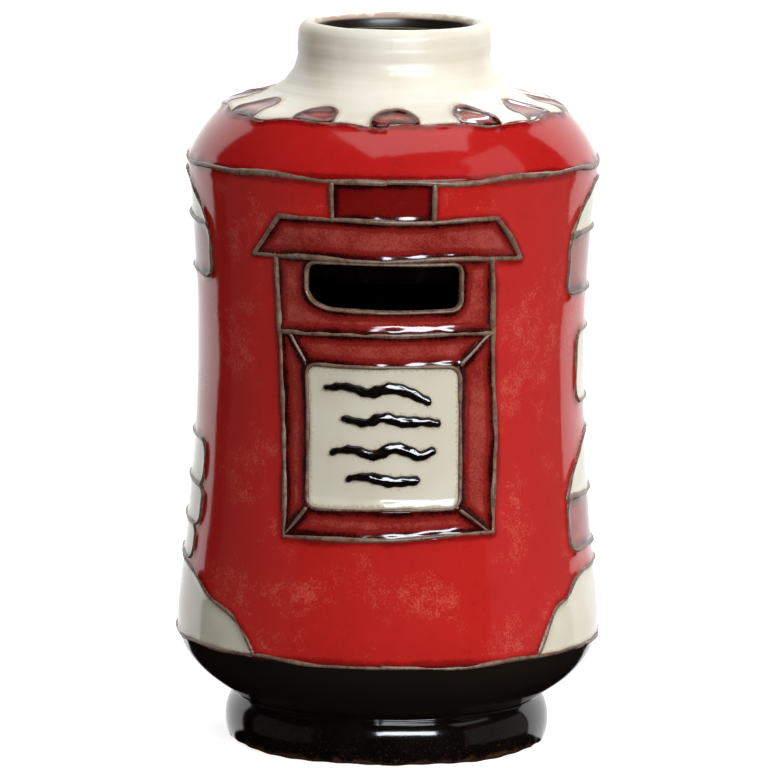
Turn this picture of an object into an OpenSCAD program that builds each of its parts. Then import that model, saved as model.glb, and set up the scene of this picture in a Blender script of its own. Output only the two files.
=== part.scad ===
// Slip-trailed ceramic money box: a bottle-shaped pot whose front is drawn as a letter box.
// The origin is the middle of the foot on the table, +Z is up and the coin slot faces -Y.

/* [Pot] */
// Height from the table to the lip
body_h = 143.6; // [119:0.2:173]
// Outer radius at the waist
waist_r = 37.8; // [31:0.1:46]
// How far the lower corner stands out past the waist
belly_swell = 3.6; // [1:0.1:6]
// How far the shoulder corner stands out past the waist
shoulder_swell = 2.2; // [0.5:0.1:5]
// Height of the lower corner
belly_z = 23.6; // [19.6:0.1:29]
// Drop from the lip to the shoulder corner
shoulder_drop = 28; // [24:0.5:34]
// Thickness of the clay wall
wall = 5.5; // [3.5:0.1:7]

/* [Neck] */
// Outer radius of the neck
neck_r = 18.55; // [17:0.05:23]
// Radius of the glazed mouth
mouth_r = 15.2; // [13.5:0.1:16]
// Straight length of the neck under the lip
neck_h = 5; // [4:0.5:12]
// Height of the rounded lip
lip_h = 3; // [2:0.1:4.5]

/* [Foot] */
// Outer radius of the foot ring
foot_r = 31.8; // [26:0.1:36]
// Width of the ring that stands on the table
foot_land = 4; // [3:0.1:6]
// Rounding of the ring's outer edge
foot_round = 2.4; // [1.5:0.1:4]
// Height of the groove over the foot
groove_z = 9.4; // [7.8:0.1:12]
// Depth of the groove
groove_d = 2.2; // [1:0.1:4]
// Height of the recess under the base
recess_h = 6; // [5.6:0.1:8]
// Thickness of the base
base_t = 5.5; // [4.5:0.1:8]

/* [Stopper] */
// Radius of the hole in the base
hole_r = 16; // [13:0.1:19.2]
// Radial gap between the stopper's plug and its hole
plug_gap = 0.06; // [0.02:0.01:0.1]
// How far the stopper's flange reaches past the hole
flange_lip = 3; // [2:0.1:3.2]
// Thickness of the flange
flange_t = 2.4; // [1.5:0.1:3.5]
// How far the plug stands above the base inside
plug_rise = 1; // [0:0.1:4]
// Gap between the flange and the base
flange_gap = 0.3; // [0.2:0.05:0.5]
// Length of the grip under the flange
grip_l = 14; // [8:0.5:18]
// Width of the grip
grip_w = 3; // [2:0.1:4]
// Height of the grip
grip_h = 2.6; // [1.5:0.1:3.2]

/* [Slip and glaze] */
// Width of a trailed slip line
line_w = 1.5; // [1:0.05:2]
// Height of a slip line over the clay
line_h = 1.1; // [0.8:0.05:1.6]
// Thickness of the glaze
glaze_t = 0.5; // [0.3:0.05:0.7]
// Gap between a glaze pool and the line that fences it
pool_gap = 0.05; // [0.02:0.01:0.1]

/* [Coin slot] */
// Width of the coin slot
slot_w = 30; // [29:0.1:34]
// Height of the coin slot at the front
slot_h = 8.3; // [6.9:0.1:11]
// Corner radius of the slot
slot_round = 2.2; // [1:0.1:3.5]
// How far the slot drops on its way through the wall
slot_fall = 4; // [2:0.1:4.8]

/* [Hood and slot plate] */
// Half width of the hood along its top
hood_top_w = 20.8; // [16:0.1:24]
// Half width of the hood along its bottom
hood_low_w = 25.2; // [23:0.1:28]
// Height of the hood
hood_h = 7.6; // [5:0.1:9]
// Height of the lintel over the hood
lintel_h = 6.9; // [4:0.1:8]
// Distance of each lintel joint from the middle
lintel_joint = 9.7; // [6:0.1:14]
// Half width of the slot plate and the door
door_w = 20.6; // [18:0.1:22]
// Height of the slot plate between hood and crossbar
plate_h = 14.6; // [13:0.1:17.6]

/* [Door] */
// Height of the door's sill over the lower corner
sill_rise = 22.8; // [18:0.1:30]
// Width of the frame members
frame_w = 5.8; // [4:0.1:7]
// Corner radius of the notice
notice_round = 1.6; // [0.5:0.1:3]
// Thickness of the raised strokes on the notice
mark_w = 1.3; // [0.8:0.1:2]
// Height of the raised strokes
mark_h = 1.3; // [0.8:0.1:1.8]

/* [Shoulder] */
// How far the snow's edge lies inside the shoulder corner
snow_inset = 7.4; // [6:0.1:12]
// Drop from the lip to the snow's edge
snow_drop = 17; // [14:0.1:20]
// Number of small cells along the snow's edge
cell_count = 12; // [8:1:14]
// Width of a cell
cell_w = 9.5; // [6:0.1:11]
// Depth of a cell towards the neck
cell_d = 5.4; // [3:0.1:7]

/* [Snow and bricks] */
// Height of the tall drifts on the sides
drift_h = 16; // [8:0.5:24]
// Height of the low drift on the back
back_drift_h = 9; // [5:0.5:16]
// Corner radius of a brick
brick_round = 1.6; // [0.6:0.1:3]

/* [Hidden] */
$fn = 96;
round_fn = 16;
reach = 100;

CREAM = [0.91, 0.89, 0.82];
RED = [0.73, 0.17, 0.15];
DARK_RED = [0.52, 0.1, 0.1];
SLIP = [0.47, 0.37, 0.32];
BLACK = [0.04, 0.035, 0.03];
CLAY = [0.85, 0.8, 0.7];
RUBBER = [0.12, 0.12, 0.12];

// --- Drawing sizes ---
half_line = line_w / 2 + pool_gap;
pool_round = 0.6;
wiped_h = 0.8;

// --- Radii and heights worked out from the driving sizes ---
belly_r = waist_r + belly_swell;
shoulder_r = waist_r + shoulder_swell;
shoulder_z = body_h - shoulder_drop;
waist_z = (belly_z + shoulder_z) * 0.54;
snow_r = shoulder_r - snow_inset;
snow_z = body_h - snow_drop;
lip_z = body_h - lip_h;
neck_z = lip_z - neck_h;
groove_r = foot_r - groove_d;
base_line_z = belly_z - 1.5;
shoulder_line_z = shoulder_z + 0.8;
hood_top_z = shoulder_line_z - lintel_h - line_w / 2;
hood_low_z = hood_top_z - hood_h;
slot_top_z = hood_low_z - half_line - glaze_t;
slot_low_z = slot_top_z - slot_h;
crossbar_z = hood_low_z - plate_h;
sill_z = belly_z + sill_rise;
notice_w = door_w - frame_w;
notice_top_z = crossbar_z - frame_w;
notice_low_z = sill_z + frame_w;
floor_z = recess_h + base_t;
lip_crest_z = body_h - glaze_t;
mouth_clay_r = mouth_r + glaze_t;
foot_inner_r = foot_r - foot_round - foot_land;
flange_r = hole_r + flange_lip;
wall_low_z = base_line_z + half_line;
wall_high_z = shoulder_line_z - half_line;

// --- Curves and profiles: a point is [radius, height] ---
// A quadratic bend from a to b that leans towards c.
function bend(a, c, b, n) =
    [for (i = [0:n]) let (t = i / n) (1 - t) * (1 - t) * a + 2 * t * (1 - t) * c + t * t * b];

// The direction square to a profile at point i, pointing out of the clay.
function square_to(p, i) =
    let (a = p[max(i - 1, 0)], b = p[min(i + 1, len(p) - 1)], d = b - a) [d.y, -d.x] / norm(d);

// A profile moved outwards by t, point by point.
function grown(p, t) = [for (i = [0:len(p) - 1]) p[i] + t * square_to(p, i)];

// A list read backwards.
function reversed(p) = [for (i = [len(p) - 1:-1:0]) p[i]];

// A curve without its first point, where the curve before it has already given that point.
function onward(p) = [for (i = [1:len(p) - 1]) p[i]];

// The outside of the clay, from the table up to the snow's edge.
outer = concat(
    bend([foot_r - foot_round, 0], [foot_r, 0.2], [foot_r, groove_z * 0.32], 4),
    bend([foot_r - 0.1, groove_z * 0.45], [groove_r + 0.9, groove_z * 0.9], [groove_r, groove_z], 3),
    bend([groove_r + 1.2, groove_z + 0.9], [belly_r, groove_z + 6.5], [belly_r, belly_z], 6),
    bend([belly_r - 0.05, belly_z + 3], [waist_r, (belly_z + waist_z) * 0.57], [waist_r, waist_z], 6),
    bend([waist_r + 0.01, waist_z + 4], [waist_r, waist_z + 18], [shoulder_r - 0.3, shoulder_z - 2.5], 6),
    [[shoulder_r, shoulder_z]],
    bend([shoulder_r - 0.3, shoulder_z + 1.4], [shoulder_r - 2.2, snow_z - 4.6], [snow_r, snow_z], 5)
);

// The radius of the clay's outside at a height.
function clay_r(z) = lookup(z, [for (p = outer) [p.y, p.x]]);

// The slope under the snow, the neck and the lip.
flare = bend([snow_r - 0.8, snow_z + 0.35], [neck_r + 2.2, snow_z + 1.6], [neck_r, neck_z], 7);
lip = concat(
    bend([neck_r, lip_z], [neck_r, lip_crest_z], [mouth_r + 1.6, lip_crest_z], 4),
    onward(bend([mouth_r + 1.6, lip_crest_z], [mouth_clay_r, lip_crest_z], [mouth_clay_r, lip_z - 0.5], 3))
);

// The inside of the clay, from under the lip down to the base.
inner = concat(
    [[mouth_clay_r, neck_z - 1]],
    bend([mouth_clay_r + 0.2, neck_z - 3], [mouth_clay_r + 1.5, snow_z - wall + 1],
        [snow_r - 3, snow_z - wall - 1], 4),
    bend([snow_r - 1, snow_z - wall - 2], [shoulder_r - wall - 0.5, snow_z - wall - 4],
        [shoulder_r - wall, shoulder_z - 4], 3),
    bend([waist_r - wall + 0.2, waist_z + 16], [waist_r - wall, waist_z],
        [waist_r - wall + 0.6, waist_z - 18], 3),
    bend([belly_r - wall - 0.1, belly_z + 4], [belly_r - wall, floor_z + 1],
        [belly_r - wall - 11, floor_z], 5)
);

// --- Solids of revolution ---
// The clay's outline on one side of the axis. The mouth, the base hole and the foot recess are open.
module clay_outline() {
    polygon(concat(
        outer, flare, lip, inner,
        [[hole_r, floor_z], [hole_r, recess_h]],
        [[foot_inner_r - 0.8, recess_h], [foot_inner_r, 0]]
    ));
}

// A layer from a to b over the outside of the clay, between two heights.
module skin(a, b, low, high) {
    p = concat(outer, flare);
    rotate_extrude()
        intersection() {
            polygon(concat(grown(p, b), reversed(grown(p, a))));
            translate([0, low]) square([reach, high - low]);
        }
}

// --- Drawing on the pot ---
// Cuts a flat drawing straight through the wall at a turn about the axis, where 0 is the front.
module through_wall(turn = 0) {
    rotate([0, 0, turn])
        rotate([90, 0, 0])
            linear_extrude(reach)
                children();
}

// Presses a flat drawing onto the wall as a layer of the given thickness.
module on_wall(thickness, turn = 0) {
    intersection() {
        skin(0, thickness, base_line_z, shoulder_line_z);
        through_wall(turn) children();
    }
}

// Presses a flat drawing onto the shoulder from above.
module on_shoulder(thickness) {
    intersection() {
        skin(0, thickness, shoulder_z + 2, neck_z);
        linear_extrude(body_h) children();
    }
}

// A stroke of width w along a list of points.
module stroke(points, w = line_w) {
    side = [for (i = [0:len(points) - 1]) w / 2 * square_to(points, i)];
    polygon(concat(points + side, reversed(points - side)));
}

// The outline of a flat shape, drawn as a closed stroke.
module outlined(w = line_w) {
    difference() {
        offset(r = w / 2, $fn = round_fn) children();
        offset(r = -w / 2, $fn = round_fn) children();
    }
}

// A flat shape with its line and the gap beside it added.
module cleared() { offset(r = half_line, $fn = round_fn) children(); }

// The glaze pool inside the outline of a flat shape.
module pool() {
    offset(r = pool_round, $fn = round_fn)
        offset(r = -half_line - pool_round, $fn = round_fn)
            children();
}

// A rectangle from its left, right, low and high edges.
module plate(left, right, low, high, round = 0) {
    if (round == 0)
        translate([left, low]) square([right - left, high - low]);
    else
        offset(r = round, $fn = round_fn)
            translate([left + round, low + round])
                square([right - left - 2 * round, high - low - 2 * round]);
}

// --- Flat shapes of the front ---
module hood_shape() {
    polygon([
        [-hood_low_w, hood_low_z], [hood_low_w, hood_low_z],
        [hood_top_w, hood_top_z], [-hood_top_w, hood_top_z]
    ]);
}

module lintel_shape() { plate(-lintel_joint, lintel_joint, hood_top_z, shoulder_line_z); }

module slot_plate_shape() { plate(-door_w, door_w, crossbar_z, hood_low_z); }

module slot_shape() { plate(-slot_w / 2, slot_w / 2, slot_low_z, slot_top_z, slot_round); }

module door_shape() { plate(-door_w, door_w, sill_z, crossbar_z); }

module notice_shape() { plate(-notice_w, notice_w, notice_low_z, notice_top_z, notice_round); }

// The four mitres, from the door's corners to the notice's corners.
module mitre_strokes() {
    for (side = [-1, 1]) {
        stroke([[side * door_w, crossbar_z], [side * notice_w, notice_top_z]]);
        stroke([[side * door_w, sill_z], [side * notice_w, notice_low_z]]);
    }
}

door_corners = [[-door_w, sill_z], [door_w, sill_z], [door_w, crossbar_z], [-door_w, crossbar_z]];
notice_corners = [
    [-notice_w, notice_low_z], [notice_w, notice_low_z], [notice_w, notice_top_z], [-notice_w, notice_top_z]
];

// One member of the door frame, from mitre to mitre: 0 is the sill, 1 right, 2 the head and 3 left.
module frame_strip(i) {
    j = (i + 1) % 4;
    polygon([door_corners[i], door_corners[j], notice_corners[j], notice_corners[i]]);
}

// Everything on the front that the red of the wall leaves free.
module front_shape() {
    hood_shape();
    slot_plate_shape();
    door_shape();
    lintel_shape();
}

// A wavy stroke of the brush on the notice: left end, right end, height, swing and number of waves.
module mark_shape(left, right, z, swing, waves) {
    steps = 8 * waves;
    points = [
        for (i = [0:steps])
            let (u = i / steps) [left + (right - left) * u, z + swing * sin(360 * waves * u) * (1 - 0.4 * u)]
    ];
    stroke(points, mark_w);
}

// The strokes from the top down: left end, right end, swing and number of waves.
marks = [[-11, 8, 0.6, 2], [-8, 9.8, 0.7, 2], [-10.2, 9.2, 0.8, 3], [-6.8, 6, 0.4, 2]];

// --- Small cells along the snow's edge, drawn from above ---
// A half-round cell whose flat side lies along the snow's edge, made larger by grow.
module cell_shape(grow) {
    steps = 12;
    polygon([
        for (i = [0:steps])
            let (a = 180 * i / steps) [snow_r + 0.2 - (cell_d + grow) * sin(a), (cell_w / 2 + grow) * cos(a)]
    ]);
}

module each_cell() {
    for (i = [0:cell_count - 1])
        rotate([0, 0, i * 360 / cell_count - 90])
            children();
}

// --- Bricks and lobes of snow on the sides and back: [turn, low edge, height, half width, cap height] ---
bricks = [
    [90, shoulder_z - 24, 12, 17.5, 9],
    [90, belly_z + 17, 10.5, 17.5, 11],
    [-90, shoulder_z - 21, 10.5, 17.5, 8],
    [180, shoulder_z - 30, 11, 15, 8],
    [152, belly_z + 26, 10, 9, 6],
    [-152, belly_z + 38, 10, 9, 6]
];
lobes = [
    [90, belly_z + 46, 13, 11.5],
    [-90, belly_z + 29, 9, 15],
    [-90, belly_z + 21, 8, 15.5],
    [-90, belly_z + 14, 7, 14]
];

module brick_shape(b) { plate(-b[3], b[3], b[1], b[1] + b[2], brick_round); }

module lobe_shape(b) { plate(-b[3], b[3], b[1], b[1] + b[2], b[2] / 2 - 0.2); }

// A mound of snow that lies along the top of a brick.
module cap_shape(b) {
    steps = 12;
    polygon([
        for (i = [0:steps])
            let (u = i / steps) [b[3] * (2 * u - 1) * 0.98, b[1] + b[2] + b[4] * pow(sin(180 * u), 0.75)]
    ]);
}

// Drifts along the bottom of the wall: [turn, half angle, height, lean of the crest].
drifts = [
    [94, 47, drift_h, -0.15],
    [-93, 54, drift_h - 3, 0.2],
    [180, 26, back_drift_h, 0.1]
];

// A mound with two soft steps in its top edge.
module drift_shape(d) {
    steps = 18;
    half = belly_r * sin(d[1]);
    polygon([
        for (i = [0:steps])
            let (u = 2 * i / steps - 1, rise = pow(cos(90 * u), 0.8), step = 0.07 * sin(540 * u) * cos(90 * u))
            [half * u, base_line_z + d[2] * (rise * (1 + d[3] * u) + step)]
    ]);
}

// --- Coin slot: its roof and sill fall towards the inside, and its ends are straight ---
module slot_throat(grow = 0) {
    slope = slot_fall / wall;
    near = waist_r - 3 * wall;
    far = waist_r + wall;
    low = slot_low_z - grow;
    high = slot_top_z + grow;
    intersection() {
        rotate_extrude()
            polygon([
                [near, low + slope * (near - clay_r(low))], [far, low + slope * (far - clay_r(low))],
                [far, high + slope * (far - clay_r(high))], [near, high + slope * (near - clay_r(high))]
            ]);
        through_wall()
            plate(-slot_w / 2 - grow, slot_w / 2 + grow, low - slot_fall * 3, high, slot_round);
    }
}

// --- One module per sub-part ---
module clay_body() {
    color(CLAY)
        difference() {
            rotate_extrude() clay_outline();
            slot_throat(glaze_t);
        }
}

// The lining of the inside and the mouth, and the lining of the slot's throat.
module inner_glaze() {
    mouth = [[mouth_clay_r, lip_z - 0.5]];
    lining = concat(mouth, inner, [[hole_r + 2, floor_z]]);
    color(BLACK) {
        difference() {
            rotate_extrude() polygon(concat(lining, reversed(grown(lining, glaze_t))));
            slot_throat(glaze_t);
        }
        intersection() {
            difference() {
                slot_throat(glaze_t);
                slot_throat();
            }
            rotate_extrude()
                intersection() {
                    clay_outline();
                    translate([0, belly_z]) square([reach, shoulder_z - belly_z]);
                }
        }
    }
}

module neck_glaze() {
    edge = concat(flare, lip);
    color(CREAM)
        difference() {
            rotate_extrude()
                polygon(concat(edge, reversed(grown(edge, glaze_t))));
            linear_extrude(body_h)
                difference() {
                    circle(r = reach);
                    circle(r = snow_r - half_line);
                }
            linear_extrude(body_h) each_cell() cell_shape(half_line);
        }
}

module snow_edge_line() {
    color(SLIP)
        on_shoulder(line_h)
            difference() {
                circle(r = snow_r + line_w / 2);
                circle(r = snow_r - line_w / 2);
            }
}

module cell_lines() {
    color(SLIP)
        on_shoulder(line_h)
            intersection() {
                circle(r = snow_r - half_line);
                difference() {
                    each_cell() cell_shape(line_w / 2);
                    each_cell() cell_shape(-line_w / 2);
                }
            }
}

module shoulder_cells() {
    color(DARK_RED)
        on_shoulder(glaze_t)
            intersection() {
                circle(r = snow_r - half_line);
                each_cell() cell_shape(-half_line);
            }
}

module shoulder_glaze() {
    color(RED)
        difference() {
            skin(0, glaze_t, shoulder_line_z + half_line, body_h);
            cylinder(r = snow_r + half_line, h = body_h);
        }
}

module shoulder_line() {
    color(SLIP) skin(0, line_h, shoulder_line_z - line_w / 2, shoulder_line_z + line_w / 2);
}

module barrel_glaze() {
    color(RED)
        difference() {
            skin(0, glaze_t, wall_low_z, wall_high_z);
            through_wall() cleared() front_shape();
            for (b = bricks)
                through_wall(b[0])
                    cleared() {
                        brick_shape(b);
                        cap_shape(b);
                    }
            for (b = lobes) through_wall(b[0]) cleared() lobe_shape(b);
            for (d = drifts) through_wall(d[0]) cleared() drift_shape(d);
        }
}

module lintel_lines() {
    low = hood_top_z + half_line;
    color(SLIP)
        on_wall(line_h)
            for (x = [-lintel_joint, lintel_joint])
                plate(x - line_w / 2, x + line_w / 2, low, wall_high_z);
}

module lintel_glaze() { color(DARK_RED) on_wall(glaze_t) pool() lintel_shape(); }

module hood_line() { color(SLIP) on_wall(line_h) outlined() hood_shape(); }

module hood_glaze() { color(RED) on_wall(glaze_t) pool() hood_shape(); }

module slot_box_lines() {
    color(SLIP)
        on_wall(line_h)
            for (x = [-door_w, door_w])
                plate(x - line_w / 2, x + line_w / 2, crossbar_z + half_line, hood_low_z - half_line);
}

// The line stands just outside the opening at its ends and under it. The hood's own line runs over it.
module slot_line() {
    color(SLIP)
        on_wall(line_h)
            difference() {
                offset(r = line_w, $fn = round_fn) slot_shape();
                offset(r = glaze_t, $fn = round_fn) slot_shape();
                cleared() hood_shape();
            }
}

module slot_surround_glaze() {
    color(DARK_RED)
        on_wall(glaze_t)
            difference() {
                pool() slot_plate_shape();
                offset(r = line_w + pool_gap, $fn = round_fn) slot_shape();
            }
}

module crossbar_line() {
    half = door_w + line_w / 2;
    color(SLIP) on_wall(line_h) plate(-half, half, crossbar_z - line_w / 2, crossbar_z + line_w / 2);
}

module frame_line() {
    color(SLIP)
        on_wall(line_h)
            difference() {
                outlined() door_shape();
                plate(-reach, reach, crossbar_z - half_line, crossbar_z + reach);
            }
}

module mitre_lines() {
    color(SLIP)
        on_wall(line_h)
            intersection() {
                mitre_strokes();
                difference() {
                    offset(delta = -half_line) door_shape();
                    offset(r = half_line, $fn = round_fn) notice_shape();
                }
            }
}

module frame_sill_glaze() { color(DARK_RED) on_wall(glaze_t) pool() frame_strip(0); }

module frame_right_glaze() { color(DARK_RED) on_wall(glaze_t) pool() frame_strip(1); }

module frame_head_glaze() { color(DARK_RED) on_wall(glaze_t) pool() frame_strip(2); }

module frame_left_glaze() { color(DARK_RED) on_wall(glaze_t) pool() frame_strip(3); }

module notice_line() { color(SLIP) on_wall(line_h) outlined() notice_shape(); }

module notice_glaze() {
    color(CREAM)
        on_wall(glaze_t)
            difference() {
                pool() notice_shape();
                notice_marks_shape(pool_gap);
            }
}

// The four strokes, spaced evenly over the notice and made larger by grow.
module notice_marks_shape(grow = 0) {
    pitch = (notice_top_z - notice_low_z) / 4.65;
    for (i = [0:len(marks) - 1]) {
        m = marks[i];
        offset(delta = grow) mark_shape(m[0], m[1], notice_top_z - (i + 0.72) * pitch, m[2], m[3]);
    }
}

module notice_marks() { color(BLACK) on_wall(mark_h) notice_marks_shape(); }

module brick_lines() {
    color(SLIP) {
        for (b = bricks)
            on_wall(line_h, b[0]) {
                outlined() brick_shape(b);
                outlined() cap_shape(b);
            }
        for (b = lobes) on_wall(line_h, b[0]) outlined() lobe_shape(b);
    }
}

module brick_glaze() {
    color(DARK_RED)
        for (b = bricks)
            on_wall(glaze_t, b[0])
                pool() brick_shape(b);
}

module brick_snow_glaze() {
    color(CREAM) {
        for (b = bricks)
            on_wall(glaze_t, b[0])
                difference() {
                    pool() cap_shape(b);
                    cleared() brick_shape(b);
                }
        for (b = lobes) on_wall(glaze_t, b[0]) pool() lobe_shape(b);
    }
}

module drift_lines() {
    color(SLIP)
        for (d = drifts)
            on_wall(line_h, d[0])
                difference() {
                    outlined() drift_shape(d);
                    plate(-reach, reach, 0, wall_low_z);
                }
}

module drift_glaze() {
    color(CREAM)
        for (d = drifts)
            on_wall(glaze_t, d[0])
                difference() {
                    pool() drift_shape(d);
                    plate(-reach, reach, 0, wall_low_z);
                }
}

module base_line() {
    color(SLIP) skin(0, line_h, base_line_z - line_w / 2, base_line_z + line_w / 2);
}

// The foot's lowest edge is wiped clean of glaze, so that the pot stands on bare clay.
module base_glaze() {
    color(BLACK) skin(0, glaze_t, wiped_h, base_line_z - half_line);
}

// A round plug with a flange and a grip. It is pulled out downwards.
module base_stopper() {
    flange_top = recess_h - flange_gap;
    flange_low = flange_top - flange_t;
    plug_h = base_t + flange_gap + plug_rise;
    color(RUBBER) {
        translate([0, 0, flange_top]) cylinder(r = hole_r - plug_gap, h = plug_h);
        translate([0, 0, flange_low]) cylinder(r = flange_r, h = flange_t);
        translate([-grip_l / 2, -grip_w / 2, flange_low - grip_h]) cube([grip_l, grip_w, grip_h]);
    }
}

clay_body();
inner_glaze();
neck_glaze();
snow_edge_line();
cell_lines();
shoulder_cells();
shoulder_glaze();
shoulder_line();
barrel_glaze();
lintel_lines();
lintel_glaze();
hood_line();
hood_glaze();
slot_box_lines();
slot_line();
slot_surround_glaze();
crossbar_line();
frame_line();
mitre_lines();
frame_head_glaze();
frame_left_glaze();
frame_right_glaze();
frame_sill_glaze();
notice_line();
notice_glaze();
notice_marks();
brick_lines();
brick_glaze();
brick_snow_glaze();
drift_lines();
drift_glaze();
base_line();
base_glaze();
base_stopper();
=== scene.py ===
# %% [markdown]
# # A slip-trailed ceramic money box
# The pot is thrown on a wheel and fired, then drawn on with liquid clay from a nozzle. Each drawn
# line dries as a raised cord, and coloured glaze is flooded between the cords. In the kiln the glaze
# turns to glass: it is thin over the cords and deep beside them, which is what the eye reads as
# hand work. The CAD frame gives every solid and its place. This file gives each one its fired skin.

import math

import bpy
import numpy as np
from mathutils import Matrix, Vector


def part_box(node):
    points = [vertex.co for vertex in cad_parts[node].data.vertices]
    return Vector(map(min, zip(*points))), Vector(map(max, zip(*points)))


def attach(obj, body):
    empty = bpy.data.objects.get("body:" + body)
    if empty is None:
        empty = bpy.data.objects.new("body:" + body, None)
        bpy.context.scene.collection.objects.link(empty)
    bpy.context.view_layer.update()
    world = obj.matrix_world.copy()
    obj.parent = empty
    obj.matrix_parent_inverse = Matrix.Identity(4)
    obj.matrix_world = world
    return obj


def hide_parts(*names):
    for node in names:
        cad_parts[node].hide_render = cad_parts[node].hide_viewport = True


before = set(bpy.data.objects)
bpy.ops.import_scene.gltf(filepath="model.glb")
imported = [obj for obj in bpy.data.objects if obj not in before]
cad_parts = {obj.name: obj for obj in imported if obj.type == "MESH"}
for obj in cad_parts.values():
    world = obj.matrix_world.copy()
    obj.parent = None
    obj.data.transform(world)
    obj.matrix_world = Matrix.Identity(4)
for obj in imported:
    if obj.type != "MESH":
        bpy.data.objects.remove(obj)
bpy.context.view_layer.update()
MM = 0.001


# %% [markdown]
# ## Heights that come from the frame
# The drawing on the pot hangs between two level lines: one round the shoulder and one round the
# base. Both are nodes of the frame, so their heights are read from their boxes.

# %% Read the level lines
def middle_z(node):
    low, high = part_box(node)
    return (low.z + high.z) / 2 / MM


base_z = middle_z("base_line")
shoulder_z = middle_z("shoulder_line")
body_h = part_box("neck_glaze")[1].z / MM
print(f"base line {base_z:.1f} mm, shoulder line {shoulder_z:.1f} mm, height {body_h:.1f} mm")


# %% [markdown]
# ## The thrown profile
# A potter's curve has no corners. The frame's clay is turned from short straight runs, so the same
# runs are repeated here and then softened along their length. A line read from a spun mesh would
# do as well, but the bends say plainly which part of the pot each one makes.

# %% Bend the profile
def bend(start, lean, end, steps):
    t = np.linspace(0, 1, steps + 1)[:, None]
    start, lean, end = np.array(start), np.array(lean), np.array(end)
    return (1 - t) ** 2 * start + 2 * t * (1 - t) * lean + t**2 * end


WAIST_R, BELLY_R, SHOULDER_R = 37.8, 41.4, 40.0
FOOT_R, GROOVE_R, GROOVE_Z, BELLY_Z = 31.8, 29.6, 9.4, 23.6
NECK_R, MOUTH_R, SNOW_R = 18.55, 15.7, 32.6
CORNER_DROP, SNOW_DROP, LIP_DROP, CREST_DROP = 28, 17, 3, 0.5
corner_z = body_h - CORNER_DROP
waist_z = (BELLY_Z + corner_z) * 0.54
edge_z = body_h - SNOW_DROP
lip_z = body_h - LIP_DROP
crest_z = body_h - CREST_DROP

bends = [
    bend([FOOT_R - 2.4, 0], [FOOT_R, 0.2], [FOOT_R, GROOVE_Z * 0.32], 4),
    bend([FOOT_R, GROOVE_Z * 0.45], [FOOT_R - 0.1, GROOVE_Z * 0.85], [GROOVE_R, GROOVE_Z], 6),
    bend([GROOVE_R + 1.2, GROOVE_Z + 0.9], [BELLY_R, GROOVE_Z + 6.5], [BELLY_R, BELLY_Z], 6),
    bend([BELLY_R - 0.05, BELLY_Z + 3], [WAIST_R, (BELLY_Z + waist_z) * 0.57], [WAIST_R, waist_z], 6),
    bend([WAIST_R + 0.01, waist_z + 4], [WAIST_R, waist_z + 18], [SHOULDER_R - 0.3, corner_z - 2.5], 6),
    np.array([[SHOULDER_R, corner_z]]),
    bend([SHOULDER_R - 0.3, corner_z + 1.4], [SHOULDER_R - 2.2, edge_z - 4.6], [SNOW_R, edge_z], 5),
    bend([SNOW_R - 0.8, edge_z + 0.35], [NECK_R + 2.2, edge_z + 1.6], [NECK_R, lip_z - 5], 7),
    bend([NECK_R, lip_z], [NECK_R, crest_z], [MOUTH_R + 1.1, crest_z], 6),
    bend([MOUTH_R + 1.1, crest_z], [MOUTH_R, crest_z], [MOUTH_R, lip_z - 0.5], 6)[1:],
]
corners = np.vstack(bends)


# %% [markdown]
# ## A skin to draw on
# Every piece below is laid on the pot by two numbers: how far round it is, and how far up. Between
# the two level lines "up" is simply the height. Past them it is the length along the profile, so
# that nothing is stretched where the pot turns over. Millimetres are used all through.

# %% Soften the profile and measure it
STEP, REACH, SOFT_MM = 0.2, 12, 0.9
run = np.concatenate([[0], np.cumsum(np.linalg.norm(np.diff(corners, axis=0), axis=1))])
along = np.arange(0, run[-1], STEP)
line_r = np.interp(along, run, corners[:, 0])
line_z = np.interp(along, run, corners[:, 1])
reach = np.arange(-REACH, REACH + 1)
soft = np.exp(-0.5 * (reach * STEP / SOFT_MM) ** 2)
soft /= soft.sum()
padded_r = np.pad(line_r, REACH, mode="reflect", reflect_type="odd")
padded_z = np.pad(line_z, REACH, mode="reflect", reflect_type="odd")
skin_r = np.convolve(padded_r, soft, mode="valid")
skin_z = np.convolve(padded_z, soft, mode="valid")
slope_r, slope_z = np.gradient(skin_r), np.gradient(skin_z)
slope = np.hypot(slope_r, slope_z)
out_r, out_z = slope_z / slope, -slope_r / slope

low_i = int(np.argmin(np.abs(skin_z - base_z) + (along > 60) * 99))
high_i = int(np.argmin(np.abs(skin_z - shoulder_z) + (skin_r < 36) * 99))
skin_v = np.where(along < along[low_i], base_z - (along[low_i] - along), skin_z)
skin_v = np.where(along > along[high_i], shoulder_z + (along - along[high_i]), skin_v)
ROUND = 38.5
TURN = 2 * math.pi * ROUND
off = np.abs(np.interp(corners[:, 1][:20], skin_z[:400], skin_r[:400]) - corners[:, 0][:20]).max()
print(f"skin from {skin_v[0]:.1f} to {skin_v[-1]:.1f} mm, {off:.2f} mm off the turned clay at most")


# %% Place a point on the skin
def radius_at(v):
    return np.interp(v, skin_v, skin_r)


def on_skin(u, v, lift):
    turn = u / ROUND
    r = radius_at(v) + lift * np.interp(v, skin_v, out_r)
    z = np.interp(v, skin_v, skin_z) + lift * np.interp(v, skin_v, out_z)
    return np.column_stack([r * np.sin(turn), -r * np.cos(turn), z]) * MM


snow_v = float(skin_v[int(np.argmin(np.abs(skin_r - SNOW_R) + (skin_z < edge_z - 5) * 99))])
print(f"the snow's edge is {snow_v:.1f} mm up the skin")


# %% [markdown]
# ## Drawing by distance
# A trailed line is a distance: everything nearer than half its width to the path is slip. A glaze
# pool is a distance too: everything inside the path. One path then gives a line and the pools on
# both its sides, with no gap between them, and two distances blend where lines run together. The
# same slow wander is added to every distance, as the hand's own is in everything it draws.

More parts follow.
